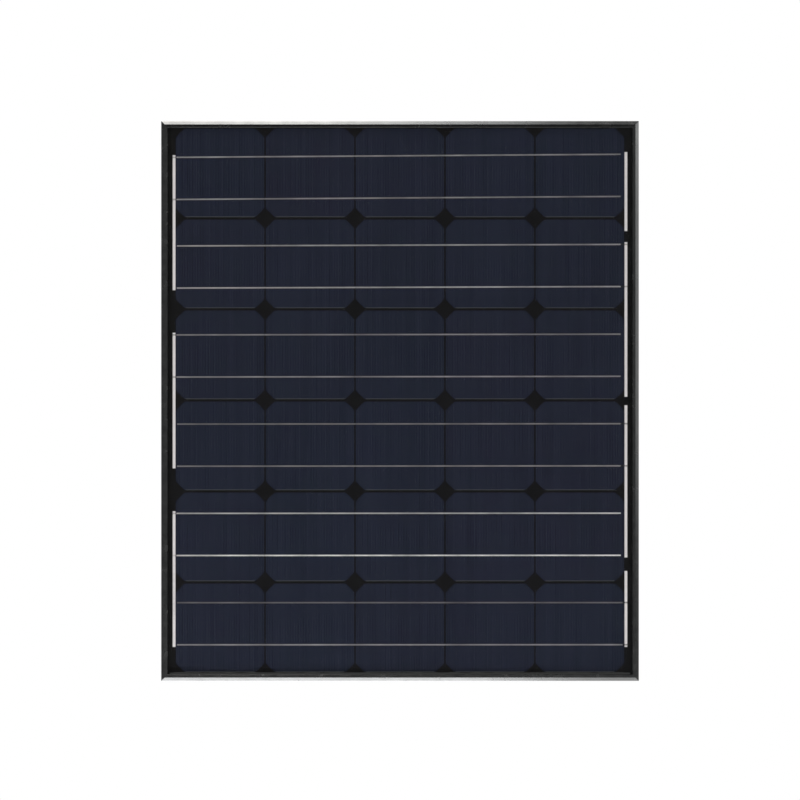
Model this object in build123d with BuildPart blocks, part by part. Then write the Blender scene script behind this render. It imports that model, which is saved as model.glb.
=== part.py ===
from build123d import *
import math
import os

# A framed solar panel of 30 cells with a junction box on its back.
# X runs across the panel, Z up its longer side and Y out of its back. The origin is the centre of the
# four mounting holes, on the plane of the frame's back flanges, so the glass faces -Y.
# All sizes are in millimetres.

CUT_PAST = 1.0  # how far a cut runs past the face that it opens

# ---------------------------------------------------------------- driving dimensions: frame
PANEL_WIDTH = 674.0
PANEL_HEIGHT = 790.0
FRAME_DEPTH = 35.0
BEVEL_WIDTH = 4.8  # the sloping outer edge, seen from the front
BEVEL_DEPTH = 3.0
LIP_REACH = 9.0  # from the panel's side to the lip's inner edge
LIP_THICKNESS = 1.8
LIP_EDGE_BREAK = 0.4
WALL = 1.6
SLOT_BOTTOM_INSET = 2.0
SLOT_HEIGHT = 7.1  # holds the laminate and its seal
SHELF_REACH = 9.6
SHELF_THICKNESS = 1.5
CHAMBER_INNER_WALL = 1.4
FLANGE_REACH = 28.0
FLANGE_THICKNESS = 1.8
FLANGE_EDGE_BREAK = 0.5
MITRE_JOINT = 0.06  # each rail stops this far short of the corner's diagonal
KEY_CLEARANCE = 0.15
KEY_LEG = 42.0

# holes in the back flanges
HOLE_INSET = 19.0
MOUNTING_HOLE_RADIUS = 3.5
MOUNTING_HOLE_Z = 200.0
SLOT_HOLE_WIDTH = 9.0
SLOT_HOLE_LENGTH = 14.0
SLOT_HOLE_Z = 300.0
EARTH_HOLE_RADIUS = 2.1
EARTH_HOLE_Z = -345.0
DRAIN_WIDTH = 4.0
DRAIN_LENGTH = 10.0
DRAIN_X = 285.0

# ---------------------------------------------------------------- driving dimensions: laminate
SEAL_THICKNESS = 0.9
SEAL_REACH = 8.5
LAMINATE_INSET = 3.2
GLASS_THICKNESS = 3.2
GLASS_EDGE_BREAK = 0.5
FRONT_ENCAPSULANT_THICKNESS = 0.5
RIBBON_THICKNESS = 0.15
CELL_THICKNESS = 0.2
REAR_ENCAPSULANT_THICKNESS = 0.75
BACKSHEET_THICKNESS = 0.35
ENCAPSULANT_RIM = 6.0

COLUMNS = 5
ROWS = 6
CELL = 125.0
CELL_DIAGONAL = 160.0  # the round wafer that the cell's corners come from
COLUMN_GAP = 2.0
ROW_GAP = 3.5
ARRAY_RISE = 1.0  # the cells sit this far above the frame's middle

RIBBON_WIDTH = 2.0
RIBBON_SPACING = 59.5  # between the two ribbons of a row
RIBBON_ROW_SCALE = 0.982  # ribbon pairs are set slightly closer together than the rows of cells
TOP_ROW_RISE = 4.4  # how much the top row's ribbons climb from left to right; each row below has half of it
RIBBON_BEND = 0.3  # flat length beside a gap before the ribbon steps down to the next cell's back
LEFT_CELL_START = 1.4  # bare length of the left-hand cell before a ribbon that starts on it
RIGHT_CELL_START = 4.8  # the same on the right-hand cell
BUS_X = 319.0
BUS_WIDTH = 4.0
BUS_OVERHANG = 3.0
TERMINAL_BUS_END = 240.0  # the outer right-hand buses run in to here
CENTRE_BUS_END = 6.0

LEAD_WIDTH = 5.0
LEAD_THICKNESS = 0.25
LEAD_COLUMN_X = 300.0
LEAD_GROOVE_CLEARANCE = 0.2
LEAD_SLOT_MARGIN = 1.0  # round a lead-out where it goes through the backsheet
INSULATION_WIDTH = 8.0
INSULATION_THICKNESS = 0.1
RAIL_PITCH = 22.0

# ---------------------------------------------------------------- driving dimensions: junction box
BOX_X = 235.0
BOX_WIDTH = 90.0
BOX_HEIGHT = 112.0
BOX_WALL = 3.0
BOX_CORNER = 4.0
BOX_INNER_CORNER = 2.0
BOX_FLOOR = 2.0
BOX_FLANGE = 4.0
BOX_FLANGE_CORNER = 6.0
BOX_FLANGE_THICKNESS = 1.8
ADHESIVE_THICKNESS = 1.0
ADHESIVE_INSET = 3.0
WALL_TOP_Y = -7.0
LID_UNDERSIDE_Y = -6.9
LID_TOP_Y = -3.0
LID_SHELL = 2.2
LID_RIDGE_GAP = 0.4
LID_RIDGE_WIDTH = 1.2
LID_RIDGE_DEPTH = 1.2
LID_RIDGE_CORNERS = (2.0, 1.0)
LID_TOP_BREAK = 1.0
LID_PANEL = (46.0, 70.0)
LID_PANEL_CORNER = 3.0
LID_PANEL_DEPTH = 0.4
GROOVE_INSET = 0.8
GROOVE_WIDTH = 1.4
GROOVE_DEPTH = 1.0
SEAL_SIDE_GAP = 0.05
SEAL_TOP_GAP = 0.02
WINDOW_X = (263.5, 271.0)
WINDOW_HALF_HEIGHT = 41.0

HINGE_Y = -8.0
HINGE_Z = 60.0
HINGE_OFFSET_X = 30.0
HINGE_PIN_RADIUS = 1.5
EAR_RADIUS = 3.0
EAR_THICKNESS = 4.0
EAR_BORE_CLEARANCE = 0.02
EAR_ROOT = 0.5  # how far an ear's web runs into the wall
EAR_WEB_RISE = 0.4
EAR_WEB_DROP = 4.5
KNUCKLE_RADIUS = 2.9
KNUCKLE_LENGTH = 8.0
KNUCKLE_BORE_CLEARANCE = 0.06
KNUCKLE_WEB_DROP = 0.6
HINGE_SIDE_GAP = 0.3
HINGE_PIN_OVERHANG = 0.2

CATCH_X = 22.0
CATCH_WIDTH = 12.0
CATCH_DEPTH = 1.0
CATCH_ROOT = 0.1
CATCH_TOP_Y = -8.5
CATCH_EDGE_Y = -10.2
CATCH_BOTTOM_Y = -11.0
LID_ROOT = 1.0  # how far the knuckles' webs and the tongues run into the lid's rim
TONGUE_GAP = 0.3
TONGUE_NOSE = 0.7
TONGUE_THICKNESS = 1.4
TONGUE_ROOT_Y = (-6.0, -3.8)
TONGUE_HOOK_Y = -11.2
TONGUE_NOSE_Y = -12.0
TONGUE_TIP_Y = -13.0

RAIL_Y = -20.0  # underside of the terminal rails
RAIL_THICKNESS = 1.0
RAIL_WIDTH = 8.0
RAIL_X = (208.0, 266.9)
RAIL_TAB_TOP_Y = -14.0
POST_X = (213.0, 235.0, 257.0)
POST_SIZE = 6.0
CLIP_THICKNESS = 0.8
CLIP_WIDTH = 6.0
CLIP_RISE = 0.5  # above the rail that it stands over
DIODE_RADIUS = 2.65
DIODE_LENGTH = 9.5
DIODE_LEAD_RADIUS = 0.6
DIODE_X = (236.0, 244.0, 236.0)
DIODE_SEAT_GAP = 0.02
DIODE_BAND_GROOVE = 0.1
DIODE_BAND_WIDTH = 1.4

GLAND_Y = -15.5
GLAND_THREAD_RADIUS = 6.0
GLAND_THREAD_CLEARANCE = 0.05
GLAND_BORE_RADIUS = 3.3
GLAND_HEX = 15.0  # across flats
GLAND_HEX_X = (185.0, 190.0)
GLAND_X = (176.0, 201.0)
GLAND_SEAT_X = 184.0
GLAND_SEAT_RADIUS = 4.7
LOCKNUT_HEX = 14.0
LOCKNUT_THICKNESS = 4.0
SEAL_RING_RADII = (3.1, 4.65)
SEAL_RING_X = (176.5, 183.9)
CAP_NUT_X = (172.0, 184.5)
CAP_NUT_WALL_X = 175.8
CAP_NUT_HOLE_RADIUS = 3.6
CAP_NUT_BREAK = 1.6

CLAMP_X = 213.0
CLAMP_SIZE = 9.0
CLAMP_HEIGHT = 8.0
CLAMP_BORE_RADIUS = 2.2
SCREW_RADIUS = 1.5
SCREW_CLEARANCE = 0.05
SCREW_HEAD_RADIUS = 3.0
SCREW_HEAD_HEIGHT = 2.2
SCREW_SLOT_WIDTH = 0.9
SCREW_SLOT_DEPTH = 1.0

# ---------------------------------------------------------------- worked out from the above
HALF_WIDTH = PANEL_WIDTH / 2
HALF_HEIGHT = PANEL_HEIGHT / 2
FRONT_Y = -FRAME_DEPTH
SLOT_FRONT_Y = FRONT_Y + LIP_THICKNESS
SLOT_BACK_Y = SLOT_FRONT_Y + SLOT_HEIGHT
SHELF_BACK_Y = SLOT_BACK_Y + SHELF_THICKNESS
CHAMBER_OUTER = WALL
CHAMBER_INNER = SHELF_REACH - CHAMBER_INNER_WALL

GLASS_FRONT_Y = SLOT_FRONT_Y + SEAL_THICKNESS
GLASS_BACK_Y = GLASS_FRONT_Y + GLASS_THICKNESS
CELL_LAYER_FRONT_Y = GLASS_BACK_Y + FRONT_ENCAPSULANT_THICKNESS
CELL_FRONT_Y = CELL_LAYER_FRONT_Y + RIBBON_THICKNESS
CELL_BACK_Y = CELL_FRONT_Y + CELL_THICKNESS
CELL_LAYER_BACK_Y = CELL_BACK_Y + RIBBON_THICKNESS
CELL_LAYER_MIDDLE_Y = (CELL_LAYER_FRONT_Y + CELL_LAYER_BACK_Y) / 2
BACKSHEET_FRONT_Y = CELL_LAYER_BACK_Y + REAR_ENCAPSULANT_THICKNESS
BACKSHEET_BACK_Y = BACKSHEET_FRONT_Y + BACKSHEET_THICKNESS

COLUMN_PITCH = CELL + COLUMN_GAP
ROW_PITCH = CELL + ROW_GAP
COLUMN_CENTRES = [(i - (COLUMNS - 1) / 2) * COLUMN_PITCH for i in range(COLUMNS)]
ROW_CENTRES = [((ROWS - 1) / 2 - i) * ROW_PITCH + ARRAY_RISE for i in range(ROWS)]

LEAD_FRONT_Y = BACKSHEET_FRONT_Y - LEAD_THICKNESS
INSULATION_FRONT_Y = LEAD_FRONT_Y - INSULATION_THICKNESS
LEAD_END_X = RAIL_X[1] + LEAD_WIDTH / 2
RAIL_ZS = [1.5 * RAIL_PITCH, 0.5 * RAIL_PITCH, -0.5 * RAIL_PITCH, -1.5 * RAIL_PITCH]
OUTER_LEAD_START = TERMINAL_BUS_END + LEAD_WIDTH / 2
LEAD_STARTS = [OUTER_LEAD_START, RAIL_ZS[1], RAIL_ZS[2], -OUTER_LEAD_START]
LEAD_SLOT_X = (RAIL_X[1] - LEAD_SLOT_MARGIN, RAIL_X[1] + 2 * LEAD_SLOT_MARGIN)

ADHESIVE_BACK_Y = BACKSHEET_BACK_Y + ADHESIVE_THICKNESS
FLOOR_TOP_Y = ADHESIVE_BACK_Y + BOX_FLOOR
RAIL_TOP_Y = RAIL_Y + RAIL_THICKNESS
GLAND_CENTRES = [(GLAND_Y, RAIL_ZS[0]), (GLAND_Y, RAIL_ZS[3])]
HINGE_XS = [BOX_X - HINGE_OFFSET_X, BOX_X + HINGE_OFFSET_X]
CATCH_XS = [BOX_X - CATCH_X, BOX_X + CATCH_X]
BOX_TOP_Z = BOX_HEIGHT / 2
GLAND_WALL_X = (BOX_X - BOX_WIDTH / 2, BOX_X - BOX_WIDTH / 2 + BOX_WALL)
LOCKNUT_X = (GLAND_WALL_X[1], GLAND_WALL_X[1] + LOCKNUT_THICKNESS)
GLAND_HOLE_RADIUS = GLAND_THREAD_RADIUS + GLAND_THREAD_CLEARANCE

os.makedirs("parts", exist_ok=True)


def save(piece, name):
    """Labels a finished piece and writes it."""
    piece.part.label = name
    export_step(piece.part, f"parts/{name}.step")


def level(y):
    """Sketch plane parallel to the glass, with sketch x, y along X, Z. Extrusion runs towards the front."""
    return Plane.XZ.offset(-y)


def slab(outlines, y_front, y_back, mode=Mode.ADD):
    """Adds or cuts the region between two levels, drawn by the function outlines."""
    with BuildSketch(level(y_back)) as profile:
        outlines()
    extrude(profile.sketch, amount=y_back - y_front, mode=mode)


def block(x, y, z, mode=Mode.ADD):
    """Adds or cuts a box from three (low, high) pairs."""
    with Locations(((x[0] + x[1]) / 2, (y[0] + y[1]) / 2, (z[0] + z[1]) / 2)):
        Box(x[1] - x[0], y[1] - y[0], z[1] - z[0], mode=mode)


def stage(x, radius, centres, mode=Mode.ADD):
    """Adds or cuts round lengths along X, at each (y, z) centre."""
    with BuildSketch(Plane.YZ.offset(x[0])) as profile:
        with Locations(*centres):
            Circle(radius)
    extrude(profile.sketch, amount=x[1] - x[0], mode=mode)


def hex_stage(x, across_flats, centres):
    """Adds hexagonal lengths along X, with two flats facing Y, at each (y, z) centre."""
    with BuildSketch(Plane.YZ.offset(x[0])) as profile:
        with Locations(*centres):
            RegularPolygon(across_flats / 2, 6, major_radius=False, rotation=30)
    extrude(profile.sketch, amount=x[1] - x[0])


def polygon(*corners):
    """Draws a closed outline through these corners."""
    with BuildLine() as outline:
        Polyline(*corners, close=True)
    make_face(outline.edges())


# ---------------------------------------------------------------- frame
def rail_section():
    """Section of a rail: x is the inset from the panel's side and y is Y."""
    polygon(
        (0, 0),
        (0, FRONT_Y + BEVEL_DEPTH),
        (BEVEL_WIDTH, FRONT_Y),
        (LIP_REACH - LIP_EDGE_BREAK, FRONT_Y),
        (LIP_REACH, FRONT_Y + LIP_EDGE_BREAK),
        (LIP_REACH, SLOT_FRONT_Y),
        (SLOT_BOTTOM_INSET, SLOT_FRONT_Y),
        (SLOT_BOTTOM_INSET, SLOT_BACK_Y),
        (SHELF_REACH, SLOT_BACK_Y),
        (SHELF_REACH, -FLANGE_THICKNESS),
        (FLANGE_REACH, -FLANGE_THICKNESS),
        (FLANGE_REACH, -FLANGE_EDGE_BREAK),
        (FLANGE_REACH - FLANGE_EDGE_BREAK, 0),
    )
    chamber_middle = ((CHAMBER_OUTER + CHAMBER_INNER) / 2, (SHELF_BACK_Y - FLANGE_THICKNESS) / 2)
    with Locations(chamber_middle):
        Rectangle(CHAMBER_INNER - CHAMBER_OUTER, -FLANGE_THICKNESS - SHELF_BACK_Y, mode=Mode.SUBTRACT)


def frame_rail(name, outer_point, inward, length, flange_holes):
    """One rail, mitred at both ends. inward points from the panel's side to its middle."""
    inward = Vector(*inward)
    along = inward.cross(Vector(0, 1, 0))
    outer_point = Vector(*outer_point)
    with BuildPart() as rail:
        with BuildSketch(Plane(origin=outer_point, x_dir=inward, z_dir=along)):
            rail_section()
        extrude(amount=length / 2, both=True)
        for end in (along, -along):
            corner = outer_point + end * (length / 2 - MITRE_JOINT)
            split(bisect_by=Plane(origin=corner, z_dir=inward + end), keep=Keep.BOTTOM)
        slab(flange_holes, -FLANGE_THICKNESS - CUT_PAST, CUT_PAST, mode=Mode.SUBTRACT)
    save(rail, name)


def side_flange_holes(x):
    """Mounting holes, mounting slots and an earthing hole in a side rail's flange."""
    with Locations((x, MOUNTING_HOLE_Z), (x, -MOUNTING_HOLE_Z)):
        Circle(MOUNTING_HOLE_RADIUS)
    with Locations((x, SLOT_HOLE_Z), (x, -SLOT_HOLE_Z)):
        SlotOverall(SLOT_HOLE_LENGTH, SLOT_HOLE_WIDTH, rotation=90)
    with Locations((x, EARTH_HOLE_Z)):
        Circle(EARTH_HOLE_RADIUS)


def end_flange_holes(z):
    """Drain slots in the top or bottom rail's flange."""
    with Locations((DRAIN_X, z), (-DRAIN_X, z)):
        SlotOverall(DRAIN_LENGTH, DRAIN_WIDTH)


hole_x = HALF_WIDTH - HOLE_INSET
hole_z = HALF_HEIGHT - HOLE_INSET
frame_rail("frame_left", (-HALF_WIDTH, 0, 0), (1, 0, 0), PANEL_HEIGHT, lambda: side_flange_holes(-hole_x))
frame_rail("frame_right", (HALF_WIDTH, 0, 0), (-1, 0, 0), PANEL_HEIGHT, lambda: side_flange_holes(hole_x))
frame_rail("frame_top", (0, 0, HALF_HEIGHT), (0, 0, -1), PANEL_WIDTH, lambda: end_flange_holes(hole_z))
frame_rail("frame_bottom", (0, 0, -HALF_HEIGHT), (0, 0, 1), PANEL_WIDTH, lambda: end_flange_holes(-hole_z))


def corner_key(name, side_x, side_z):
    """L-shaped key in the hollow chambers of the two rails that meet at a corner."""
    outer_x = side_x * (HALF_WIDTH - CHAMBER_OUTER - KEY_CLEARANCE)
    outer_z = side_z * (HALF_HEIGHT - CHAMBER_OUTER - KEY_CLEARANCE)
    leg_width = CHAMBER_INNER - CHAMBER_OUTER - 2 * KEY_CLEARANCE

    def outline():
        polygon(
            (outer_x, outer_z),
            (outer_x - side_x * KEY_LEG, outer_z),
            (outer_x - side_x * KEY_LEG, outer_z - side_z * leg_width),
            (outer_x - side_x * leg_width, outer_z - side_z * leg_width),
            (outer_x - side_x * leg_width, outer_z - side_z * KEY_LEG),
            (outer_x, outer_z - side_z * KEY_LEG),
        )

    with BuildPart() as key:
        slab(outline, SHELF_BACK_Y + KEY_CLEARANCE, -FLANGE_THICKNESS - KEY_CLEARANCE)
    save(key, name)


corner_key("corner_key_top_left", -1, 1)
corner_key("corner_key_top_right", 1, 1)
corner_key("corner_key_bottom_left", -1, -1)
corner_key("corner_key_bottom_right", 1, -1)


# ---------------------------------------------------------------- laminate
def inset_rectangle(inset, mode=Mode.ADD):
    """Rectangle that keeps this far inside the panel's sides."""
    Rectangle(PANEL_WIDTH - 2 * inset, PANEL_HEIGHT - 2 * inset, mode=mode)


def seal_ring():
    inset_rectangle(SLOT_BOTTOM_INSET)
    inset_rectangle(SEAL_REACH, mode=Mode.SUBTRACT)


with BuildPart() as edge_seal:
    slab(seal_ring, SLOT_FRONT_Y, SLOT_BACK_Y)
    slab(lambda: inset_rectangle(LAMINATE_INSET), GLASS_FRONT_Y, BACKSHEET_BACK_Y, mode=Mode.SUBTRACT)
save(edge_seal, "edge_seal")

with BuildPart() as glass_cover:
    slab(lambda: inset_rectangle(LAMINATE_INSET), GLASS_FRONT_Y, GLASS_BACK_Y)
    chamfer(glass_cover.faces().sort_by(Axis.Y)[0].edges(), GLASS_EDGE_BREAK)
save(glass_cover, "glass_cover")


def encapsulant_rim():
    inset_rectangle(LAMINATE_INSET)
    inset_rectangle(LAMINATE_INSET + ENCAPSULANT_RIM, mode=Mode.SUBTRACT)


with BuildPart() as front_encapsulant:
    slab(lambda: inset_rectangle(LAMINATE_INSET), GLASS_BACK_Y, CELL_LAYER_FRONT_Y)
    slab(encapsulant_rim, CELL_LAYER_FRONT_Y, CELL_LAYER_MIDDLE_Y)
save(front_encapsulant, "front_encapsulant")

# A cell is a square cut from a round wafer, so its corners are short arcs.
with BuildSketch() as wafer:
    Circle(CELL_DIAGONAL / 2)
    Rectangle(CELL, CELL, mode=Mode.INTERSECT)


def cell_row(name, z):
    def outline():
        with Locations(*[(x, z) for x in COLUMN_CENTRES]):
            add(wafer.sketch)

    with BuildPart() as row:
        slab(outline, CELL_FRONT_Y, CELL_BACK_Y)
    save(row, name)


def ribbon_line(row, side):
    """Height at the panel's middle, and slope, of a row's upper (side 1) or lower (side -1) ribbon."""
    middle = ARRAY_RISE + (ROW_CENTRES[row] - ARRAY_RISE) * RIBBON_ROW_SCALE + side * RIBBON_SPACING / 2
    slope = TOP_ROW_RISE / 2**row / (2 * BUS_X)
    return middle, slope


def ribbon_height(row, side, x):
    middle, slope = ribbon_line(row, side)
    return middle + slope * x


def stepped_ribbon(front_start, front_end, back_start, back_end):
    """Side view of a ribbon from one cell's front face, through a gap, to the next cell's back face."""
    polygon(
        (front_start, CELL_LAYER_FRONT_Y),
        (front_end, CELL_LAYER_FRONT_Y),
        (back_start, CELL_BACK_Y),
        (back_end, CELL_BACK_Y),
        (back_end, CELL_LAYER_BACK_Y),
        (back_start, CELL_LAYER_BACK_Y),
        (front_end, CELL_FRONT_Y),
        (front_start, CELL_FRONT_Y),
    )


def cell_ribbons(name, row):
    """The flat ribbons of one row. towards is the side on which they leave the cells' front faces."""
    towards = -1 if row % 2 == 0 else 1
    first_start = RIGHT_CELL_START if towards < 0 else LEFT_CELL_START
    half = CELL / 2
    front_middle_y = (CELL_LAYER_FRONT_Y + CELL_FRONT_Y) / 2
    back_middle_y = (CELL_BACK_Y + CELL_LAYER_BACK_Y) / 2
    with BuildPart() as ribbons:
        for side in (1, -1):
            middle, slope = ribbon_line(row, side)
            tilt = math.atan(slope)
            across = (math.cos(tilt), 0, math.sin(tilt))
            upright = (-math.sin(tilt), 0, math.cos(tilt))
            cells = sorted((x * towards for x in COLUMN_CENTRES))
            with BuildSketch(Plane(origin=(0, 0, middle), x_dir=across, z_dir=upright)):
                for number, cell_x in enumerate(cells):
                    start = cell_x - half + (first_start if number == 0 else RIBBON_BEND)
                    if number < COLUMNS - 1:
                        stepped_ribbon(
                            towards * start,
                            towards * (cell_x + half + RIBBON_BEND),
                            towards * (cells[number + 1] - half - RIBBON_BEND),
                            towards * (cells[number + 1] + half - RIBBON_BEND),
                        )
                    else:
                        end = BUS_X + BUS_WIDTH / 2
                        with Locations((towards * (start + end) / 2, front_middle_y)):
                            Rectangle(end - start, RIBBON_THICKNESS)
                first_back = (-BUS_X - BUS_WIDTH / 2, cells[0] + half - RIBBON_BEND)
                with Locations((towards * sum(first_back) / 2, back_middle_y)):
                    Rectangle(first_back[1] - first_back[0], RIBBON_THICKNESS)
            extrude(amount=RIBBON_WIDTH / 2, both=True)
    save(ribbons, name)


for row_index in range(ROWS):
    cell_row(f"cell_row_{row_index + 1}", ROW_CENTRES[row_index])
    cell_ribbons(f"cell_ribbons_row_{row_index + 1}", row_index)


def bus_ribbon(name, side_x, z_low, z_high):
    """Upright ribbon beside the cells that joins the rows' ribbons."""
    x = (side_x * BUS_X - BUS_WIDTH / 2, side_x * BUS_X + BUS_WIDTH / 2)
    with BuildPart() as bus:
        block(x, (CELL_FRONT_Y, CELL_BACK_Y), (z_low, z_high))
    save(bus, name)


def bus_top(row, side_x):
    return ribbon_height(row, 1, side_x * BUS_X) + BUS_OVERHANG


def bus_bottom(row, side_x):
    return ribbon_height(row, -1, side_x * BUS_X) - BUS_OVERHANG


bus_ribbon("bus_left_upper", -1, bus_bottom(1, -1), bus_top(0, -1))
bus_ribbon("bus_left_middle", -1, bus_bottom(3, -1), bus_top(2, -1))
bus_ribbon("bus_left_lower", -1, bus_bottom(5, -1), bus_top(4, -1))
bus_ribbon("bus_right_terminal_upper", 1, TERMINAL_BUS_END, bus_top(0, 1))
bus_ribbon("bus_right_upper", 1, CENTRE_BUS_END, bus_top(1, 1))
bus_ribbon("bus_right_lower", 1, bus_bottom(4, 1), -CENTRE_BUS_END)
bus_ribbon("bus_right_terminal_lower", 1, bus_bottom(5, 1), -TERMINAL_BUS_END)


def lead_route(number):
    """Corners, in X and Z, of a lead-out from its bus to its terminal rail."""
    start_z = LEAD_STARTS[number]
    rail_z = RAIL_ZS[number]
    if start_z == rail_z:
        return [(BUS_X, start_z), (LEAD_END_X, rail_z)]
    return [(BUS_X, start_z), (LEAD_COLUMN_X, start_z), (LEAD_COLUMN_X, rail_z), (LEAD_END_X, rail_z)]


def lead_strip(number, width):
    """Draws a lead-out's route as a flat strip."""
    route = lead_route(number)
    for (x0, z0), (x1, z1) in zip(route, route[1:]):
        with Locations(((x0 + x1) / 2, (z0 + z1) / 2)):
            Rectangle(abs(x1 - x0) + width, abs(z1 - z0) + width)


def all_lead_strips(width):
    for number in range(len(RAIL_ZS)):
        lead_strip(number, width)


def lead_openings(x_range, half_height):
    """Draws an opening round each lead-out where it turns towards the junction box."""
    with Locations(*[((x_range[0] + x_range[1]) / 2, z) for z in RAIL_ZS]):
        Rectangle(x_range[1] - x_range[0], 2 * half_height)


def lead_risers():
    """Draws the soldered end of each lead-out, behind its bus."""
    with Locations(*[(BUS_X, z) for z in LEAD_STARTS]):
        Rectangle(BUS_WIDTH, LEAD_WIDTH)


def lead_out(name, number):
    tab_x = (RAIL_X[1], RAIL_X[1] + LEAD_THICKNESS)
    tab_z = (RAIL_ZS[number] - LEAD_WIDTH / 2, RAIL_ZS[number] + LEAD_WIDTH / 2)
    riser_x = (BUS_X - BUS_WIDTH / 2, BUS_X + BUS_WIDTH / 2)
    riser_z = (LEAD_STARTS[number] - LEAD_WIDTH / 2, LEAD_STARTS[number] + LEAD_WIDTH / 2)
    with BuildPart() as lead:
        slab(lambda: lead_strip(number, LEAD_WIDTH), LEAD_FRONT_Y, BACKSHEET_FRONT_Y)
        block(riser_x, (CELL_BACK_Y, BACKSHEET_FRONT_Y), riser_z)
        block(tab_x, (LEAD_FRONT_Y, RAIL_TAB_TOP_Y - DIODE_LEAD_RADIUS), tab_z)
    save(lead, name)


for lead_index, lead_name in enumerate(("positive", "upper_tap", "lower_tap", "negative")):
    lead_out(f"lead_out_{lead_name}", lead_index)


def insulation_outline():
    all_lead_strips(INSULATION_WIDTH)
    with Locations(*[(BUS_X, z) for z in LEAD_STARTS]):
        Rectangle(BUS_WIDTH + INSULATION_WIDTH, INSULATION_WIDTH + LEAD_WIDTH, mode=Mode.SUBTRACT)


with BuildPart() as lead_insulation:
    slab(insulation_outline, INSULATION_FRONT_Y, LEAD_FRONT_Y)
save(lead_insulation, "lead_insulation")

with BuildPart() as rear_encapsulant:
    slab(lambda: inset_rectangle(LAMINATE_INSET), CELL_LAYER_BACK_Y, BACKSHEET_FRONT_Y)
    slab(encapsulant_rim, CELL_LAYER_MIDDLE_Y, CELL_LAYER_BACK_Y)
    slab(
        lambda: all_lead_strips(INSULATION_WIDTH + 2 * LEAD_GROOVE_CLEARANCE),
        INSULATION_FRONT_Y,
        BACKSHEET_FRONT_Y,
        mode=Mode.SUBTRACT,
    )
    slab(lead_risers, CELL_LAYER_BACK_Y, BACKSHEET_FRONT_Y, mode=Mode.SUBTRACT)
save(rear_encapsulant, "rear_encapsulant")

with BuildPart() as backsheet:
    slab(lambda: inset_rectangle(LAMINATE_INSET), BACKSHEET_FRONT_Y, BACKSHEET_BACK_Y)
    slab(
        lambda: lead_openings(LEAD_SLOT_X, LEAD_WIDTH / 2 + LEAD_SLOT_MARGIN),
        BACKSHEET_FRONT_Y,
        BACKSHEET_BACK_Y,
        mode=Mode.SUBTRACT,
    )
save(backsheet, "backsheet")


# ---------------------------------------------------------------- junction box
def box_outline(inset, corner, mode=Mode.ADD):
    """Rounded rectangle this far inside the junction box's walls."""
    with Locations((BOX_X, 0)):
        RectangleRounded(BOX_WIDTH - 2 * inset, BOX_HEIGHT - 2 * inset, corner, mode=mode)


def box_ring(outer_inset, outer_corner, width, inner_corner):
    box_outline(outer_inset, outer_corner)
    box_outline(outer_inset + width, inner_corner, mode=Mode.SUBTRACT)


def wall_ring(inset, width):
    """Ring that follows the outer corners of the junction box's walls."""
    box_ring(inset, BOX_CORNER - inset, width, BOX_CORNER - inset - width)


def window():
    """The opening in the junction box's floor that the lead-outs come through."""
    with Locations((sum(WINDOW_X) / 2, 0)):
        Rectangle(WINDOW_X[1] - WINDOW_X[0], 2 * WINDOW_HALF_HEIGHT)


with BuildPart() as box_adhesive:
    slab(lambda: box_outline(ADHESIVE_INSET - BOX_FLANGE, BOX_CORNER), BACKSHEET_BACK_Y, ADHESIVE_BACK_Y)
    slab(window, BACKSHEET_BACK_Y, ADHESIVE_BACK_Y, mode=Mode.SUBTRACT)
save(box_adhesive, "junction_box_adhesive")


def hinge_profile(x_low, x_high, corners, radius):
    """Adds a hinge ear or knuckle: a round eye on the hinge axis and a web given by its (y, z) corners."""
    with BuildSketch(Plane.YZ.offset(x_low)) as profile:
        polygon(*corners)
        with Locations((HINGE_Y, HINGE_Z)):
            Circle(radius)
    extrude(profile.sketch, amount=x_high - x_low)


EAR_WEB = [
    (HINGE_Y + EAR_WEB_RISE, BOX_TOP_Z - EAR_ROOT),
    (HINGE_Y + EAR_WEB_RISE, HINGE_Z),
    (HINGE_Y - EAR_RADIUS, HINGE_Z),
    (HINGE_Y - EAR_RADIUS - EAR_WEB_DROP, BOX_TOP_Z - EAR_ROOT),
]
CATCH_PROFILE = [
    (CATCH_TOP_Y, -BOX_TOP_Z + CATCH_ROOT),
    (CATCH_EDGE_Y, -BOX_TOP_Z - CATCH_DEPTH),
    (CATCH_BOTTOM_Y, -BOX_TOP_Z - CATCH_DEPTH),
    (CATCH_BOTTOM_Y, -BOX_TOP_Z + CATCH_ROOT),
]
EAR_REACH = KNUCKLE_LENGTH / 2 + HINGE_SIDE_GAP + EAR_THICKNESS


def side_profile(x_low, x_high, corners):
    """Adds a shape given by its (y, z) corners, between two places along X."""
    with BuildSketch(Plane.YZ.offset(x_low)) as profile:
        polygon(*corners)
    extrude(profile.sketch, amount=x_high - x_low)


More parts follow.
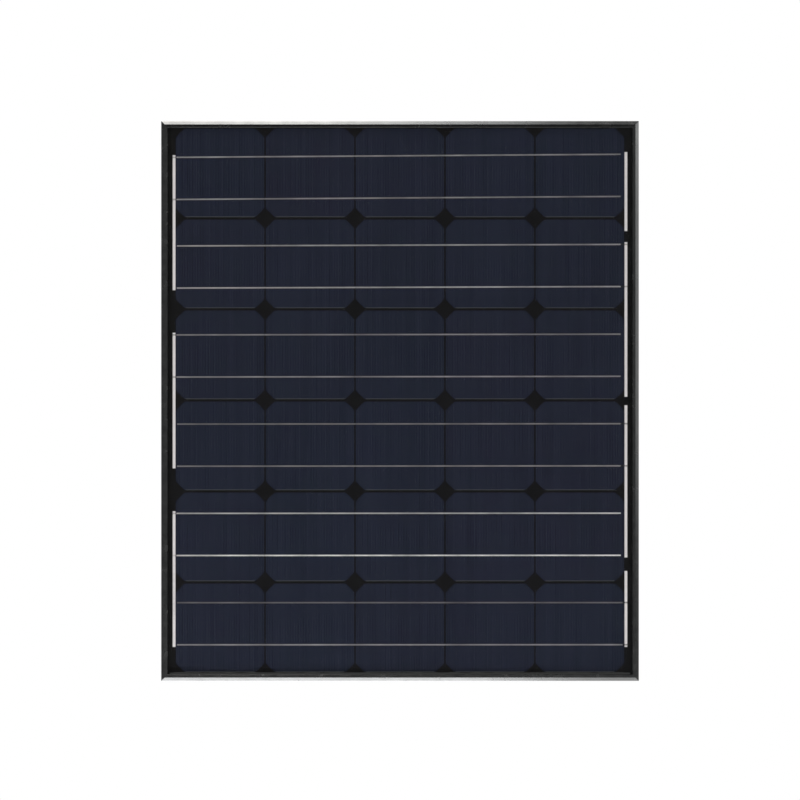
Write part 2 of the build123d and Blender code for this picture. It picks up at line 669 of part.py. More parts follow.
with BuildPart() as box_base:
    slab(
        lambda: box_outline(-BOX_FLANGE, BOX_FLANGE_CORNER),
        ADHESIVE_BACK_Y,
        ADHESIVE_BACK_Y + BOX_FLANGE_THICKNESS,
    )
    slab(lambda: box_outline(0, BOX_CORNER), ADHESIVE_BACK_Y, WALL_TOP_Y)
    slab(lambda: box_outline(BOX_WALL, BOX_INNER_CORNER), FLOOR_TOP_Y, WALL_TOP_Y, mode=Mode.SUBTRACT)
    slab(
        lambda: wall_ring(GROOVE_INSET, GROOVE_WIDTH),
        WALL_TOP_Y - GROOVE_DEPTH,
        WALL_TOP_Y,
        mode=Mode.SUBTRACT,
    )
    slab(window, ADHESIVE_BACK_Y, FLOOR_TOP_Y, mode=Mode.SUBTRACT)
    for post_x in POST_X:
        for rail_z in RAIL_ZS:
            block(
                (post_x - POST_SIZE / 2, post_x + POST_SIZE / 2),
                (FLOOR_TOP_Y - BOX_FLOOR / 2, RAIL_Y),
                (rail_z - POST_SIZE / 2, rail_z + POST_SIZE / 2),
            )
    for hinge_x in HINGE_XS:
        for ear_x in (hinge_x - EAR_REACH, hinge_x + EAR_REACH - EAR_THICKNESS):
            hinge_profile(ear_x, ear_x + EAR_THICKNESS, EAR_WEB, EAR_RADIUS)
        stage(
            (hinge_x - EAR_REACH - CUT_PAST, hinge_x + EAR_REACH + CUT_PAST),
            HINGE_PIN_RADIUS + EAR_BORE_CLEARANCE,
            [(HINGE_Y, HINGE_Z)],
            mode=Mode.SUBTRACT,
        )
    for catch_x in CATCH_XS:
        side_profile(catch_x - CATCH_WIDTH / 2, catch_x + CATCH_WIDTH / 2, CATCH_PROFILE)
    stage(
        (GLAND_WALL_X[0] - CUT_PAST, GLAND_WALL_X[1] + CUT_PAST),
        GLAND_HOLE_RADIUS,
        GLAND_CENTRES,
        mode=Mode.SUBTRACT,
    )
save(box_base, "junction_box_base")


def lid_seal_ring():
    wall_ring(GROOVE_INSET + SEAL_SIDE_GAP, GROOVE_WIDTH - 2 * SEAL_SIDE_GAP)


with BuildPart() as lid_seal:
    slab(lid_seal_ring, WALL_TOP_Y - GROOVE_DEPTH, LID_UNDERSIDE_Y - SEAL_TOP_GAP)
save(lid_seal, "lid_seal")

LID_SHELL_Y = LID_TOP_Y - LID_SHELL
LID_RIDGE_INSET = BOX_WALL + LID_RIDGE_GAP
KNUCKLE_WEB = [
    (LID_UNDERSIDE_Y, BOX_TOP_Z - LID_ROOT),
    (LID_TOP_Y - KNUCKLE_WEB_DROP, BOX_TOP_Z - LID_ROOT),
    (HINGE_Y + KNUCKLE_RADIUS, HINGE_Z),
    (LID_UNDERSIDE_Y, HINGE_Z),
]
TONGUE_INNER_Z = -BOX_TOP_Z - CATCH_DEPTH - TONGUE_GAP - TONGUE_NOSE
TONGUE_OUTER_Z = TONGUE_INNER_Z - TONGUE_THICKNESS
TONGUE_PROFILE = [
    (TONGUE_ROOT_Y[1], -BOX_TOP_Z + LID_ROOT),
    (TONGUE_ROOT_Y[1], TONGUE_OUTER_Z),
    (TONGUE_TIP_Y, TONGUE_OUTER_Z),
    (TONGUE_NOSE_Y, TONGUE_INNER_Z + TONGUE_NOSE),
    (TONGUE_HOOK_Y, TONGUE_INNER_Z + TONGUE_NOSE),
    (TONGUE_HOOK_Y, TONGUE_INNER_Z),
    (TONGUE_ROOT_Y[0], TONGUE_INNER_Z),
    (TONGUE_ROOT_Y[0], -BOX_TOP_Z + LID_ROOT),
]
with BuildPart() as box_lid:
    slab(lambda: box_outline(0, BOX_CORNER), LID_UNDERSIDE_Y, LID_TOP_Y)
    chamfer(box_lid.faces().sort_by(Axis.Y)[-1].edges(), LID_TOP_BREAK)
    slab(
        lambda: box_outline(BOX_WALL, BOX_INNER_CORNER),
        LID_UNDERSIDE_Y,
        LID_SHELL_Y,
        mode=Mode.SUBTRACT,
    )
    slab(
        lambda: box_ring(LID_RIDGE_INSET, LID_RIDGE_CORNERS[0], LID_RIDGE_WIDTH, LID_RIDGE_CORNERS[1]),
        LID_UNDERSIDE_Y - LID_RIDGE_DEPTH,
        LID_SHELL_Y,
    )
    with BuildSketch(level(LID_TOP_Y)):
        with Locations((BOX_X, 0)):
            RectangleRounded(*LID_PANEL, LID_PANEL_CORNER)
    extrude(amount=LID_PANEL_DEPTH, mode=Mode.SUBTRACT)
    for hinge_x in HINGE_XS:
        hinge_profile(hinge_x - KNUCKLE_LENGTH / 2, hinge_x + KNUCKLE_LENGTH / 2, KNUCKLE_WEB, KNUCKLE_RADIUS)
        stage(
            (hinge_x - KNUCKLE_LENGTH / 2 - CUT_PAST, hinge_x + KNUCKLE_LENGTH / 2 + CUT_PAST),
            HINGE_PIN_RADIUS + KNUCKLE_BORE_CLEARANCE,
            [(HINGE_Y, HINGE_Z)],
            mode=Mode.SUBTRACT,
        )
    for catch_x in CATCH_XS:
        side_profile(catch_x - CATCH_WIDTH / 2, catch_x + CATCH_WIDTH / 2, TONGUE_PROFILE)
save(box_lid, "junction_box_lid")

PIN_REACH = EAR_REACH + HINGE_PIN_OVERHANG
with BuildPart() as hinge_pins:
    for hinge_x in HINGE_XS:
        stage((hinge_x - PIN_REACH, hinge_x + PIN_REACH), HINGE_PIN_RADIUS, [(HINGE_Y, HINGE_Z)])
save(hinge_pins, "lid_hinge_pins")


def terminal_rail(name, z):
    """Flat rail with one end turned up, where a lead-out is clipped to it."""
    half = RAIL_WIDTH / 2
    with BuildPart() as rail:
        block(RAIL_X, (RAIL_Y, RAIL_TOP_Y), (z - half, z + half))
        block((RAIL_X[1] - RAIL_THICKNESS, RAIL_X[1]), (RAIL_Y, RAIL_TAB_TOP_Y), (z - half, z + half))
    save(rail, name)


for rail_index, rail_z in enumerate(RAIL_ZS):
    terminal_rail(f"terminal_rail_{rail_index + 1}", rail_z)

with BuildPart() as ribbon_clips:
    clip_x = (RAIL_X[1] - RAIL_THICKNESS - CLIP_THICKNESS, RAIL_X[1] + LEAD_THICKNESS + CLIP_THICKNESS)
    clip_y = (RAIL_TOP_Y + CLIP_RISE, RAIL_TAB_TOP_Y + CLIP_THICKNESS)
    for rail_z in RAIL_ZS:
        clip_z = (rail_z - CLIP_WIDTH / 2, rail_z + CLIP_WIDTH / 2)
        block(clip_x, clip_y, clip_z)
        block(
            (clip_x[0] + CLIP_THICKNESS, clip_x[1] - CLIP_THICKNESS),
            (clip_y[0], RAIL_TAB_TOP_Y),
            clip_z,
            mode=Mode.SUBTRACT,
        )
save(ribbon_clips, "ribbon_clips")


def bypass_diode(name, number):
    """Axial diode between two terminal rails, its wires lying on them."""
    middle_z = (RAIL_ZS[number] + RAIL_ZS[number + 1]) / 2
    axis_y = RAIL_TOP_Y + DIODE_LEAD_RADIUS + DIODE_SEAT_GAP
    band_z = middle_z + DIODE_LENGTH / 2 - 2 * DIODE_BAND_WIDTH
    body_low = middle_z - DIODE_LENGTH / 2

    def length(low, high, radius):
        with BuildSketch(Plane.XY.offset(low)) as profile:
            with Locations((DIODE_X[number], axis_y)):
                Circle(radius)
        extrude(profile.sketch, amount=high - low)

    with BuildPart() as diode:
        length(middle_z - RAIL_PITCH / 2, middle_z + RAIL_PITCH / 2, DIODE_LEAD_RADIUS)
        length(body_low, band_z, DIODE_RADIUS)
        length(band_z, band_z + DIODE_BAND_WIDTH, DIODE_RADIUS - DIODE_BAND_GROOVE)
        length(band_z + DIODE_BAND_WIDTH, body_low + DIODE_LENGTH, DIODE_RADIUS)
    save(diode, name)


for diode_index in range(len(RAIL_ZS) - 1):
    bypass_diode(f"bypass_diode_{diode_index + 1}", diode_index)

CLAMP_TOP_Y = RAIL_TOP_Y + CLAMP_HEIGHT
CLAMP_ZS = [RAIL_ZS[0], RAIL_ZS[3]]


def screw_shank(radius, tip_y, mode=Mode.ADD):
    """The round length from a clamp's top down to tip_y, in both clamps."""
    with BuildSketch(level(CLAMP_TOP_Y)) as profile:
        with Locations(*[(CLAMP_X, z) for z in CLAMP_ZS]):
            Circle(radius)
    extrude(profile.sketch, amount=CLAMP_TOP_Y - tip_y, mode=mode)


with BuildPart() as cable_clamps:
    for clamp_z in CLAMP_ZS:
        block(
            (CLAMP_X - CLAMP_SIZE / 2, CLAMP_X + CLAMP_SIZE / 2),
            (RAIL_TOP_Y, CLAMP_TOP_Y),
            (clamp_z - CLAMP_SIZE / 2, clamp_z + CLAMP_SIZE / 2),
        )
    stage((CLAMP_X - CLAMP_SIZE, CLAMP_X + CLAMP_SIZE), CLAMP_BORE_RADIUS, GLAND_CENTRES, mode=Mode.SUBTRACT)
    screw_shank(SCREW_RADIUS + SCREW_CLEARANCE, GLAND_Y, mode=Mode.SUBTRACT)
save(cable_clamps, "cable_clamps")

with BuildPart() as clamp_screws:
    screw_shank(SCREW_RADIUS, GLAND_Y + CLAMP_BORE_RADIUS)
    with BuildSketch(level(CLAMP_TOP_Y + SCREW_HEAD_HEIGHT)):
        with Locations(*[(CLAMP_X, z) for z in CLAMP_ZS]):
            Circle(SCREW_HEAD_RADIUS)
    extrude(amount=SCREW_HEAD_HEIGHT)
    with BuildSketch(level(CLAMP_TOP_Y + SCREW_HEAD_HEIGHT)):
        with Locations(*[(CLAMP_X, z) for z in CLAMP_ZS]):
            Rectangle(2 * (SCREW_HEAD_RADIUS + CUT_PAST), SCREW_SLOT_WIDTH)
    extrude(amount=SCREW_SLOT_DEPTH, mode=Mode.SUBTRACT)
save(clamp_screws, "clamp_screws")

# ---------------------------------------------------------------- cable glands
with BuildPart() as gland_bodies:
    stage(GLAND_X, GLAND_THREAD_RADIUS, GLAND_CENTRES)
    hex_stage(GLAND_HEX_X, GLAND_HEX, GLAND_CENTRES)
    stage(GLAND_X, GLAND_BORE_RADIUS, GLAND_CENTRES, mode=Mode.SUBTRACT)
    stage((GLAND_X[0], GLAND_SEAT_X), GLAND_SEAT_RADIUS, GLAND_CENTRES, mode=Mode.SUBTRACT)
save(gland_bodies, "gland_bodies")

with BuildPart() as gland_locknuts:
    hex_stage(LOCKNUT_X, LOCKNUT_HEX, GLAND_CENTRES)
    stage(LOCKNUT_X, GLAND_HOLE_RADIUS, GLAND_CENTRES, mode=Mode.SUBTRACT)
save(gland_locknuts, "gland_locknuts")

with BuildPart() as gland_seals:
    stage(SEAL_RING_X, SEAL_RING_RADII[1], GLAND_CENTRES)
    stage(SEAL_RING_X, SEAL_RING_RADII[0], GLAND_CENTRES, mode=Mode.SUBTRACT)
save(gland_seals, "gland_seals")

with BuildPart() as gland_cap_nuts:
    hex_stage(CAP_NUT_X, GLAND_HEX, GLAND_CENTRES)
    chamfer(gland_cap_nuts.faces().filter_by(Axis.X).group_by(Axis.X)[0].edges(), CAP_NUT_BREAK)
    stage((CAP_NUT_WALL_X, CAP_NUT_X[1]), GLAND_HOLE_RADIUS, GLAND_CENTRES, mode=Mode.SUBTRACT)
    stage(CAP_NUT_X, CAP_NUT_HOLE_RADIUS, GLAND_CENTRES, mode=Mode.SUBTRACT)
save(gland_cap_nuts, "gland_cap_nuts")
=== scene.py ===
import math

import bmesh
import bpy
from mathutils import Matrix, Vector, noise


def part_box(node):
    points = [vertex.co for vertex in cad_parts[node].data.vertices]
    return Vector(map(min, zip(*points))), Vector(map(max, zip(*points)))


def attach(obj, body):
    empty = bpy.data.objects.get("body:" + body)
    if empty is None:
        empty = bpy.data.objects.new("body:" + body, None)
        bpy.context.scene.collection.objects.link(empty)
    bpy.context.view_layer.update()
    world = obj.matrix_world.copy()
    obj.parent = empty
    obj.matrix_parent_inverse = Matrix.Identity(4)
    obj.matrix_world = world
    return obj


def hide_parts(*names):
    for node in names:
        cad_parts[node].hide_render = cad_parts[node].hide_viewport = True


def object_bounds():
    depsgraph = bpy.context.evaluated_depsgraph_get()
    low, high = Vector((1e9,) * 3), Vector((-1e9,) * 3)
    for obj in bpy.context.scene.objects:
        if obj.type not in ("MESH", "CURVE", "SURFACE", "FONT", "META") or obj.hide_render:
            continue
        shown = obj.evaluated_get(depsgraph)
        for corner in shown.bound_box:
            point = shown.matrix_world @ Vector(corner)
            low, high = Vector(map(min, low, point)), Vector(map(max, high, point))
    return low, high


# Looks for the framed solar panel. Lengths are in metres, in the CAD model's frame: X across the panel,
# Z up its longer side, and the glass facing -Y.

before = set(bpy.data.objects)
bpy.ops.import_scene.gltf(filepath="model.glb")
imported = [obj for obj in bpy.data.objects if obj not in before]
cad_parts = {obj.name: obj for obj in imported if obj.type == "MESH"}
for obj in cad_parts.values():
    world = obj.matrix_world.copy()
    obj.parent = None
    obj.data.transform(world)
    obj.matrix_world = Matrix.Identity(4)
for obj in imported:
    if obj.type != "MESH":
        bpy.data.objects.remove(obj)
cad_low, cad_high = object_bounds()

MM = 0.001
COLUMNS = 5
ROWS = 6
PANEL = "panel"

# ---------------------------------------------------------------- camera
PICTURE_WIDTH = 1.1284  # what the picture spans at the panel's front face
CAMERA_LENS = 200.0  # mm, on the default 36 mm sensor
CAMERA_RAISE = 1.4 * MM


def make_camera():
    data = bpy.data.cameras.new("camera")
    data.lens = CAMERA_LENS
    data.clip_end = 100.0
    camera = bpy.data.objects.new("camera", data)
    bpy.context.scene.collection.objects.link(camera)
    distance = PICTURE_WIDTH * CAMERA_LENS / data.sensor_width
    camera.location = (0.0, cad_low.y - distance, CAMERA_RAISE)
    camera.rotation_euler = (math.radians(90), 0.0, 0.0)
    bpy.context.scene.camera = camera


# ---------------------------------------------------------------- studio
FLOOR_Z = -1.25
FLOOR_SIZE = 11.0
WORLD_SEEN = 1.0
WORLD_GLOSS = 0.1  # what shiny things mirror
WORLD_LIGHT = 0.3  # what falls on everything else
WORLD_TINT = (0.97, 0.98, 1.0)


def make_world():
    """White where the camera sees it, dark where metal and glass mirror it, and an even light elsewhere."""
    world = bpy.data.worlds.new("studio")
    bpy.context.scene.world = world
    world.use_nodes = True
    tree = world.node_tree
    tree.nodes.clear()
    path = tree.nodes.new("ShaderNodeLightPath")

    def background(colour, strength):
        node = tree.nodes.new("ShaderNodeBackground")
        node.inputs["Color"].default_value = (*colour, 1.0)
        node.inputs["Strength"].default_value = strength
        return node

    def split(ray, other, matching):
        """Shows the one world to this kind of ray, and the other to the rest."""
        mix = tree.nodes.new("ShaderNodeMixShader")
        tree.links.new(path.outputs[ray], mix.inputs[0])
        tree.links.new(other.outputs[0], mix.inputs[1])
        tree.links.new(matching.outputs[0], mix.inputs[2])
        return mix

    light = background(WORLD_TINT, WORLD_LIGHT)
    unseen = split("Is Glossy Ray", light, background(WORLD_TINT, WORLD_GLOSS))
    whole = split("Is Camera Ray", unseen, background((1.0, 1.0, 1.0), WORLD_SEEN))
    out = tree.nodes.new("ShaderNodeOutputWorld")
    tree.links.new(whole.outputs[0], out.inputs["Surface"])


def softbox(name, location, size, radiance, target=(0.0, 0.0, 0.0), colour=(1.0, 1.0, 1.0)):
    """A rectangular lamp of this radiance, hidden from the camera."""
    data = bpy.data.lights.new(name, "AREA")
    data.shape = "RECTANGLE"
    data.size, data.size_y = size
    data.energy = radiance * math.pi * size[0] * size[1]
    data.color = colour
    lamp = bpy.data.objects.new(name, data)
    bpy.context.scene.collection.objects.link(lamp)
    lamp.location = location
    lamp.rotation_euler = (Vector(target) - Vector(location)).to_track_quat("-Z", "Y").to_euler()
    lamp.visible_camera = False


def make_lights():
    softbox("front_left", (-1.9, -2.3, 0.35), (1.2, 1.8), 2.9)
    softbox("front_right", (1.9, -2.3, 0.35), (1.2, 1.8), 2.3)
    softbox("above_left", (-0.36, -0.75, 2.0), (0.6, 0.8), 4.9, (-0.36, 0.0, 0.395), (1.0, 0.965, 0.93))
    softbox("above_middle", (0.06, -0.85, 2.0), (0.34, 0.8), 2.1, (0.06, 0.0, 0.395))
    softbox("below_left", (-0.22, -0.5, -1.15), (0.86, 0.42), 4.4, (-0.22, 0.0, -0.395), (0.98, 0.98, 1.0))
    softbox("below_right", (0.4, -0.5, -1.15), (0.34, 0.5), 0.5, (0.4, 0.0, -0.395))
    softbox("side_right", (1.96, -0.8, 0.22), (0.5, 0.8), 0.75, (0.337, 0.0, 0.2))
    softbox("side_right_high", (1.96, -0.8, 0.62), (0.5, 0.26), 2.1, (0.337, 0.0, 0.4))
    softbox("back_left", (-1.8, 2.4, 1.4), (1.6, 1.6), 9.0)
    softbox("back_right", (1.9, 2.2, 0.7), (1.2, 1.6), 6.5)
    softbox("overhead", (0.0, 2.2, 3.4), (4.0, 3.0), 4.0, (0.0, 1.2, FLOOR_Z))


# ---------------------------------------------------------------- materials
class Finish:
    """Short calls that build one material's nodes."""

    def __init__(self, name):
        self.material = bpy.data.materials.new(name)
        self.material.use_nodes = True
        self.nodes = self.material.node_tree.nodes
        self.links = self.material.node_tree.links
        self.surface = self.nodes["Principled BSDF"]
        self.place = self.nodes.new("ShaderNodeTexCoord").outputs["Object"]

    def plain(self, **sockets):
        """Sets constants on the surface shader, with _ for the space in a socket's name."""
        for name, value in sockets.items():
            self.surface.inputs[name.replace("_", " ")].default_value = value

    def stretched(self, stretch):
        mapping = self.nodes.new("ShaderNodeMapping")
        mapping.inputs["Scale"].default_value = stretch
        self.links.new(self.place, mapping.inputs["Vector"])
        return mapping.outputs[0]

    def noise(self, scale, detail, stretch=None):
        node = self.nodes.new("ShaderNodeTexNoise")
        node.inputs["Scale"].default_value = scale
        node.inputs["Detail"].default_value = detail
        source = self.place if stretch is None else self.stretched(stretch)
        self.links.new(source, node.inputs["Vector"])
        return node.outputs[0]

    def axes(self):
        node = self.nodes.new("ShaderNodeSeparateXYZ")
        self.links.new(self.place, node.inputs[0])
        return node.outputs

    def feed(self, value, socket):
        if isinstance(value, (int, float)):
            socket.default_value = value
        else:
            self.links.new(value, socket)

    def maths(self, operation, first, second=0.0):
        node = self.nodes.new("ShaderNodeMath")
        node.operation = operation
        self.feed(first, node.inputs[0])
        self.feed(second, node.inputs[1])
        return node.outputs[0]

    def between(self, value, low, high, to_low=0.0, to_high=1.0, smooth=False):
        """Maps low..high to to_low..to_high, and holds it there outside."""
        node = self.nodes.new("ShaderNodeMapRange")
        node.interpolation_type = "SMOOTHSTEP" if smooth else "LINEAR"
        self.links.new(value, node.inputs["Value"])
        limits = {"From Min": low, "From Max": high, "To Min": to_low, "To Max": to_high}
        for name, limit in limits.items():
            node.inputs[name].default_value = limit
        return node.outputs[0]

    def cell_number(self, value, start, pitch):
        """Which cell along a row or column this place is in."""
        return self.maths("FLOOR", self.maths("DIVIDE", self.maths("SUBTRACT", value, start), pitch))

    def random(self, x, y, z):
        join = self.nodes.new("ShaderNodeCombineXYZ")
        for value, socket in zip((x, y, z), join.inputs):
            self.feed(value, socket)
        node = self.nodes.new("ShaderNodeTexWhiteNoise")
        self.links.new(join.outputs[0], node.inputs["Vector"])
        return node.outputs["Value"]

    def colours(self, factor, first, second):
        """Mix of two colours. Either may be another mix."""
        node = self.nodes.new("ShaderNodeMix")
        node.data_type = "RGBA"
        self.feed(factor, node.inputs["Factor"])
        for value, socket in ((first, node.inputs[6]), (second, node.inputs[7])):
            if isinstance(value, tuple):
                socket.default_value = (*value, 1.0)
            else:
                self.links.new(value, socket)
        return node.outputs[2]

    def colour(self, source):
        self.links.new(source, self.surface.inputs["Base Color"])

    def rough(self, source):
        self.links.new(source, self.surface.inputs["Roughness"])

    def bump(self, height, depth, strength=1.0):
        """Adds relief of this depth. Calls stack up."""
        node = self.nodes.new("ShaderNodeBump")
        node.inputs["Strength"].default_value = strength
        node.inputs["Distance"].default_value = depth
        self.links.new(height, node.inputs["Height"])
        before = self.surface.inputs["Normal"]
        if before.is_linked:
            self.links.new(before.links[0].from_socket, node.inputs["Normal"])
        self.links.new(node.outputs[0], before)


LIP_EDGES = (5.6 * MM, 4.6 * MM)  # where the bevel ends and the flat lip begins, from the rail's outside
WORN_EDGES = (2.2 * MM, 0.4 * MM)  # where the paler, handled arris begins and where it is palest


def anodised(name, along, painted_lip_shade):
    """Black anodised aluminium with the fine lines of its extrusion along X (0) or Z (2).
    The third argument is how much painted shade darkens the front lip of the rail at the positive side."""
    finish = Finish(name)
    outer = cad_high[2 - along]
    place = finish.axes()
    out = finish.maths("ABSOLUTE", place[2 - along])
    arris = finish.between(out, outer - WORN_EDGES[0], outer - WORN_EDGES[1], 0.0, 0.22, True)
    stretch = [1.0, 1.0, 1.0]
    stretch[along] = 0.006
    lines = finish.noise(1500.0, 3.0, stretch)
    streaks = finish.noise(160.0, 2.0, stretch)
    clouds = finish.noise(9.0, 4.0)
    stretch[along] = 0.05
    scuffs = finish.between(finish.noise(420.0, 6.0, stretch), 0.66, 0.78)
    body = finish.colours(clouds, (0.132, 0.135, 0.137), (0.182, 0.185, 0.184))
    body = finish.colours(finish.between(streaks, 0.35, 0.7, 0.0, 0.2), body, (0.23, 0.23, 0.225))
    body = finish.colours(finish.maths("MULTIPLY", scuffs, 0.18), body, (0.36, 0.36, 0.35))
    # Painted shade: the front lip of the rail at the positive side is darkened towards (0.030, 0.030,
    # 0.031).
    lip_painted_shade = finish.between(out, outer - LIP_EDGES[0], outer - LIP_EDGES[1], painted_lip_shade, 0.0)
    at_front = finish.maths("LESS_THAN", place[1], cad_low.y + MM)
    positive_side = finish.maths("GREATER_THAN", place[2 - along], 0.0)
    lip_painted_shade = finish.maths("MULTIPLY", finish.maths("MULTIPLY", lip_painted_shade, at_front), positive_side)
    body = finish.colours(lip_painted_shade, body, (0.030, 0.030, 0.031))
    finish.colour(finish.colours(arris, body, (0.38, 0.38, 0.375)))
    finish.rough(finish.between(finish.noise(60.0, 5.0), 0.3, 0.7, 0.2, 0.29))
    finish.bump(lines, 0.02 * MM, 0.35)
    finish.bump(finish.noise(5200.0, 1.0), 0.006 * MM, 0.3)
    finish.plain(Metallic=1.0)
    return finish.material


def clear_glass():
    """Low-iron glass that mirrors by angle at its outer face and lets the rest straight through."""
    finish = Finish("clear_glass")
    finish.nodes.remove(finish.surface)
    through = finish.nodes.new("ShaderNodeBsdfTransparent")
    through.inputs["Color"].default_value = (0.972, 0.968, 0.966, 1.0)
    mirror = finish.nodes.new("ShaderNodeBsdfGlossy")
    mirror.inputs["Roughness"].default_value = 0.02
    fresnel = finish.nodes.new("ShaderNodeFresnel")
    fresnel.inputs["IOR"].default_value = 1.45
    geometry = finish.nodes.new("ShaderNodeNewGeometry")
    outside = finish.maths("SUBTRACT", 1.0, geometry.outputs["Backfacing"])
    share = finish.maths("MULTIPLY", fresnel.outputs[0], outside)
    mix = finish.nodes.new("ShaderNodeMixShader")
    finish.links.new(share, mix.inputs[0])
    finish.links.new(through.outputs[0], mix.inputs[1])
    finish.links.new(mirror.outputs[0], mix.inputs[2])
    ripple = finish.nodes.new("ShaderNodeBump")
    ripple.inputs["Strength"].default_value = 0.25
    ripple.inputs["Distance"].default_value = 0.02 * MM
    finish.links.new(finish.noise(700.0, 2.0), ripple.inputs["Height"])
    finish.links.new(ripple.outputs[0], mirror.inputs["Normal"])
    finish.links.new(mix.outputs[0], finish.nodes["Material Output"].inputs["Surface"])
    return finish.material


def cured_film():
    """Clear film, a little hazy in patches."""
    finish = Finish("cured_film")
    haze = finish.between(finish.noise(35.0, 4.0), 0.35, 0.75, 0.0008, 0.003)
    finish.links.new(haze, finish.surface.inputs["Alpha"])
    finish.plain(Base_Color=(0.6, 0.65, 0.72, 1.0), Roughness=0.6, Specular_IOR_Level=0.0)
    return finish.material


def silicon():
    """Navy coated cells. Each differs a little from the next, and every cell has soft clouds of its own."""
    finish = Finish("silicon")
    x, _, z = finish.axes()
    column = finish.cell_number(x, lowest_cell.x - (pitch_x - cell) / 2, pitch_x)
    row = finish.cell_number(z, lowest_cell.z - (pitch_z - cell) / 2, pitch_z)
    tint = finish.random(column, row, 3.0)
    depth = finish.random(row, column, 8.0)
    clouds = finish.noise(7.0, 3.0)
    patches = finish.noise(28.0, 3.0)
    body = finish.colours(tint, (0.0092, 0.0138, 0.0285), (0.0130, 0.0131, 0.0285))
    body = finish.colours(finish.between(patches, 0.35, 0.7, 0.0, 0.6), body, (0.0094, 0.0170, 0.0272))
    bright = finish.colours(clouds, (0.0080, 0.0102, 0.0198), (0.0162, 0.0196, 0.0384))
    body = finish.colours(finish.between(depth, 0.0, 1.0, 0.2, 0.55), body, bright)
    streaks = finish.between(finish.noise(330.0, 2.0, (1.0, 1.0, 0.012)), 0.4, 0.62, 0.0, 0.5)
    finish.colour(finish.colours(streaks, body, (0.0200, 0.0240, 0.0470)))
    finish.rough(finish.between(patches, 0.3, 0.7, 0.40, 0.50))
    finish.bump(finish.noise(3000.0, 2.0), 0.01 * MM, 0.4)
    finish.plain(Specular_IOR_Level=0.05)
    return finish.material


def printed_silver(name, dark, pale):
    """Fired silver paste."""
    finish = Finish(name)
    grain = finish.noise(6000.0, 2.0)
    finish.colour(finish.colours(grain, dark, pale))
    finish.rough(finish.between(grain, 0.3, 0.7, 0.45, 0.65))
    finish.bump(grain, 0.008 * MM, 0.6)
    finish.plain(Metallic=0.2, Specular_IOR_Level=0.2)
    return finish.material


def tinned(name, upper, lower, middle_z, darkened_stretches=(), metallic=0.3):
    """Tinned copper ribbon. upper and lower are the painted sheen of the row's two ribbons: how bright each
    is painted, as 0 to 1.
    The stretches that the fifth argument gives, in X, are drawn near black."""
    finish = Finish(name)
    x, _, z = finish.axes()
    # Painted sheen: the listed level and slow waves along the ribbon set its brightness, in place of how it
    # catches the lamps. The bus gets the waves too.
    is_upper = finish.maths("GREATER_THAN", z, middle_z)
    level = finish.between(is_upper, 0.0, 1.0, lower, upper)
    painted_sheen_waves = finish.noise(22.0, 3.0, (1.0, 1.0, 0.2))
    fine = finish.noise(420.0, 4.0, (0.3, 1.0, 1.0))
    level = finish.maths("MULTIPLY", level, finish.between(painted_sheen_waves, 0.25, 0.75, 0.5, 1.4))
    level = finish.maths("MULTIPLY", level, finish.between(fine, 0.3, 0.7, 0.88, 1.08))
    body = finish.colours(level, (0.02, 0.02, 0.023), (0.95, 0.93, 0.925))
    # The ribbon is drawn near black over each given stretch.
    for start, end in darkened_stretches:
        from_middle = finish.maths("ABSOLUTE", finish.maths("SUBTRACT", x, (start + end) / 2))
        dark_end_mask = finish.maths("LESS_THAN", from_middle, (end - start) / 2)
        body = finish.colours(dark_end_mask, body, (0.010, 0.010, 0.012))
    finish.colour(body)
    finish.rough(finish.between(fine, 0.3, 0.7, 0.4, 0.58))
    finish.bump(finish.noise(260.0, 3.0), 0.05 * MM, 0.5)
    finish.plain(Metallic=metallic)
    return finish.material


def black_film(name, level=1.0, shows_cells=False):
    """Black film. As the backsheet, it shows the cells under it as a faint relief."""
    finish = Finish(name)
    clouds = finish.noise(6.0, 5.0)
    specks = finish.noise(1400.0, 2.0)
    body = finish.colours(clouds, (0.0076 * level,) * 3, (0.0106 * level,) * 3)
    finish.colour(finish.colours(finish.between(specks, 0.62, 0.8, 0.0, 0.3), body, (0.02 * level,) * 3))
    finish.rough(finish.between(clouds, 0.3, 0.7, 0.42, 0.58))
    finish.bump(specks, 0.03 * MM, 0.35)
    finish.bump(finish.noise(55.0, 3.0), 0.25 * MM, 0.25)
    if shows_cells:
        x, _, z = finish.axes()
        inner, outer = cell / 2 - 1.5 * MM, cell / 2 + 0.5 * MM
        for value, start, pitch in ((x, lowest_cell.x, pitch_x), (z, lowest_cell.z, pitch_z)):
            from_first = finish.maths("SUBTRACT", value, start + cell / 2)
            offset = finish.maths("PINGPONG", from_first, pitch / 2)
            finish.bump(finish.between(offset, inner, outer, 1.0, 0.0, True), 0.12 * MM, 0.5)
    finish.plain(Specular_IOR_Level=0.1)
    return finish.material


def moulded(name, dark, pale, roughness, grain_depth=0.03):
    """Black moulded plastic with a fine spark-eroded texture, rubbed shinier in places."""
    finish = Finish(name)
    grain = finish.noise(2600.0, 3.0)
    clouds = finish.noise(45.0, 4.0)
    rubbed = finish.between(finish.noise(130.0, 6.0), 0.6, 0.72)
    body = finish.colours(clouds, dark, pale)
    worn = tuple(3 * value for value in pale)
    finish.colour(finish.colours(finish.maths("MULTIPLY", rubbed, 0.14), body, worn))
    rough = finish.between(clouds, 0.3, 0.7, roughness, roughness + 0.12)
    finish.rough(finish.maths("SUBTRACT", rough, finish.maths("MULTIPLY", rubbed, 0.12)))
    finish.bump(grain, grain_depth * MM, 0.6)
    return finish.material


def rubber(name, dark, pale, roughness=0.7):
    """Dull rubber or cured sealant."""
    finish = Finish(name)
    clouds = finish.noise(90.0, 5.0)
    finish.colour(finish.colours(clouds, dark, pale))
    finish.rough(finish.between(clouds, 0.3, 0.7, roughness - 0.08, roughness + 0.1))
    finish.bump(finish.noise(900.0, 4.0), 0.04 * MM, 0.5)
    return finish.material


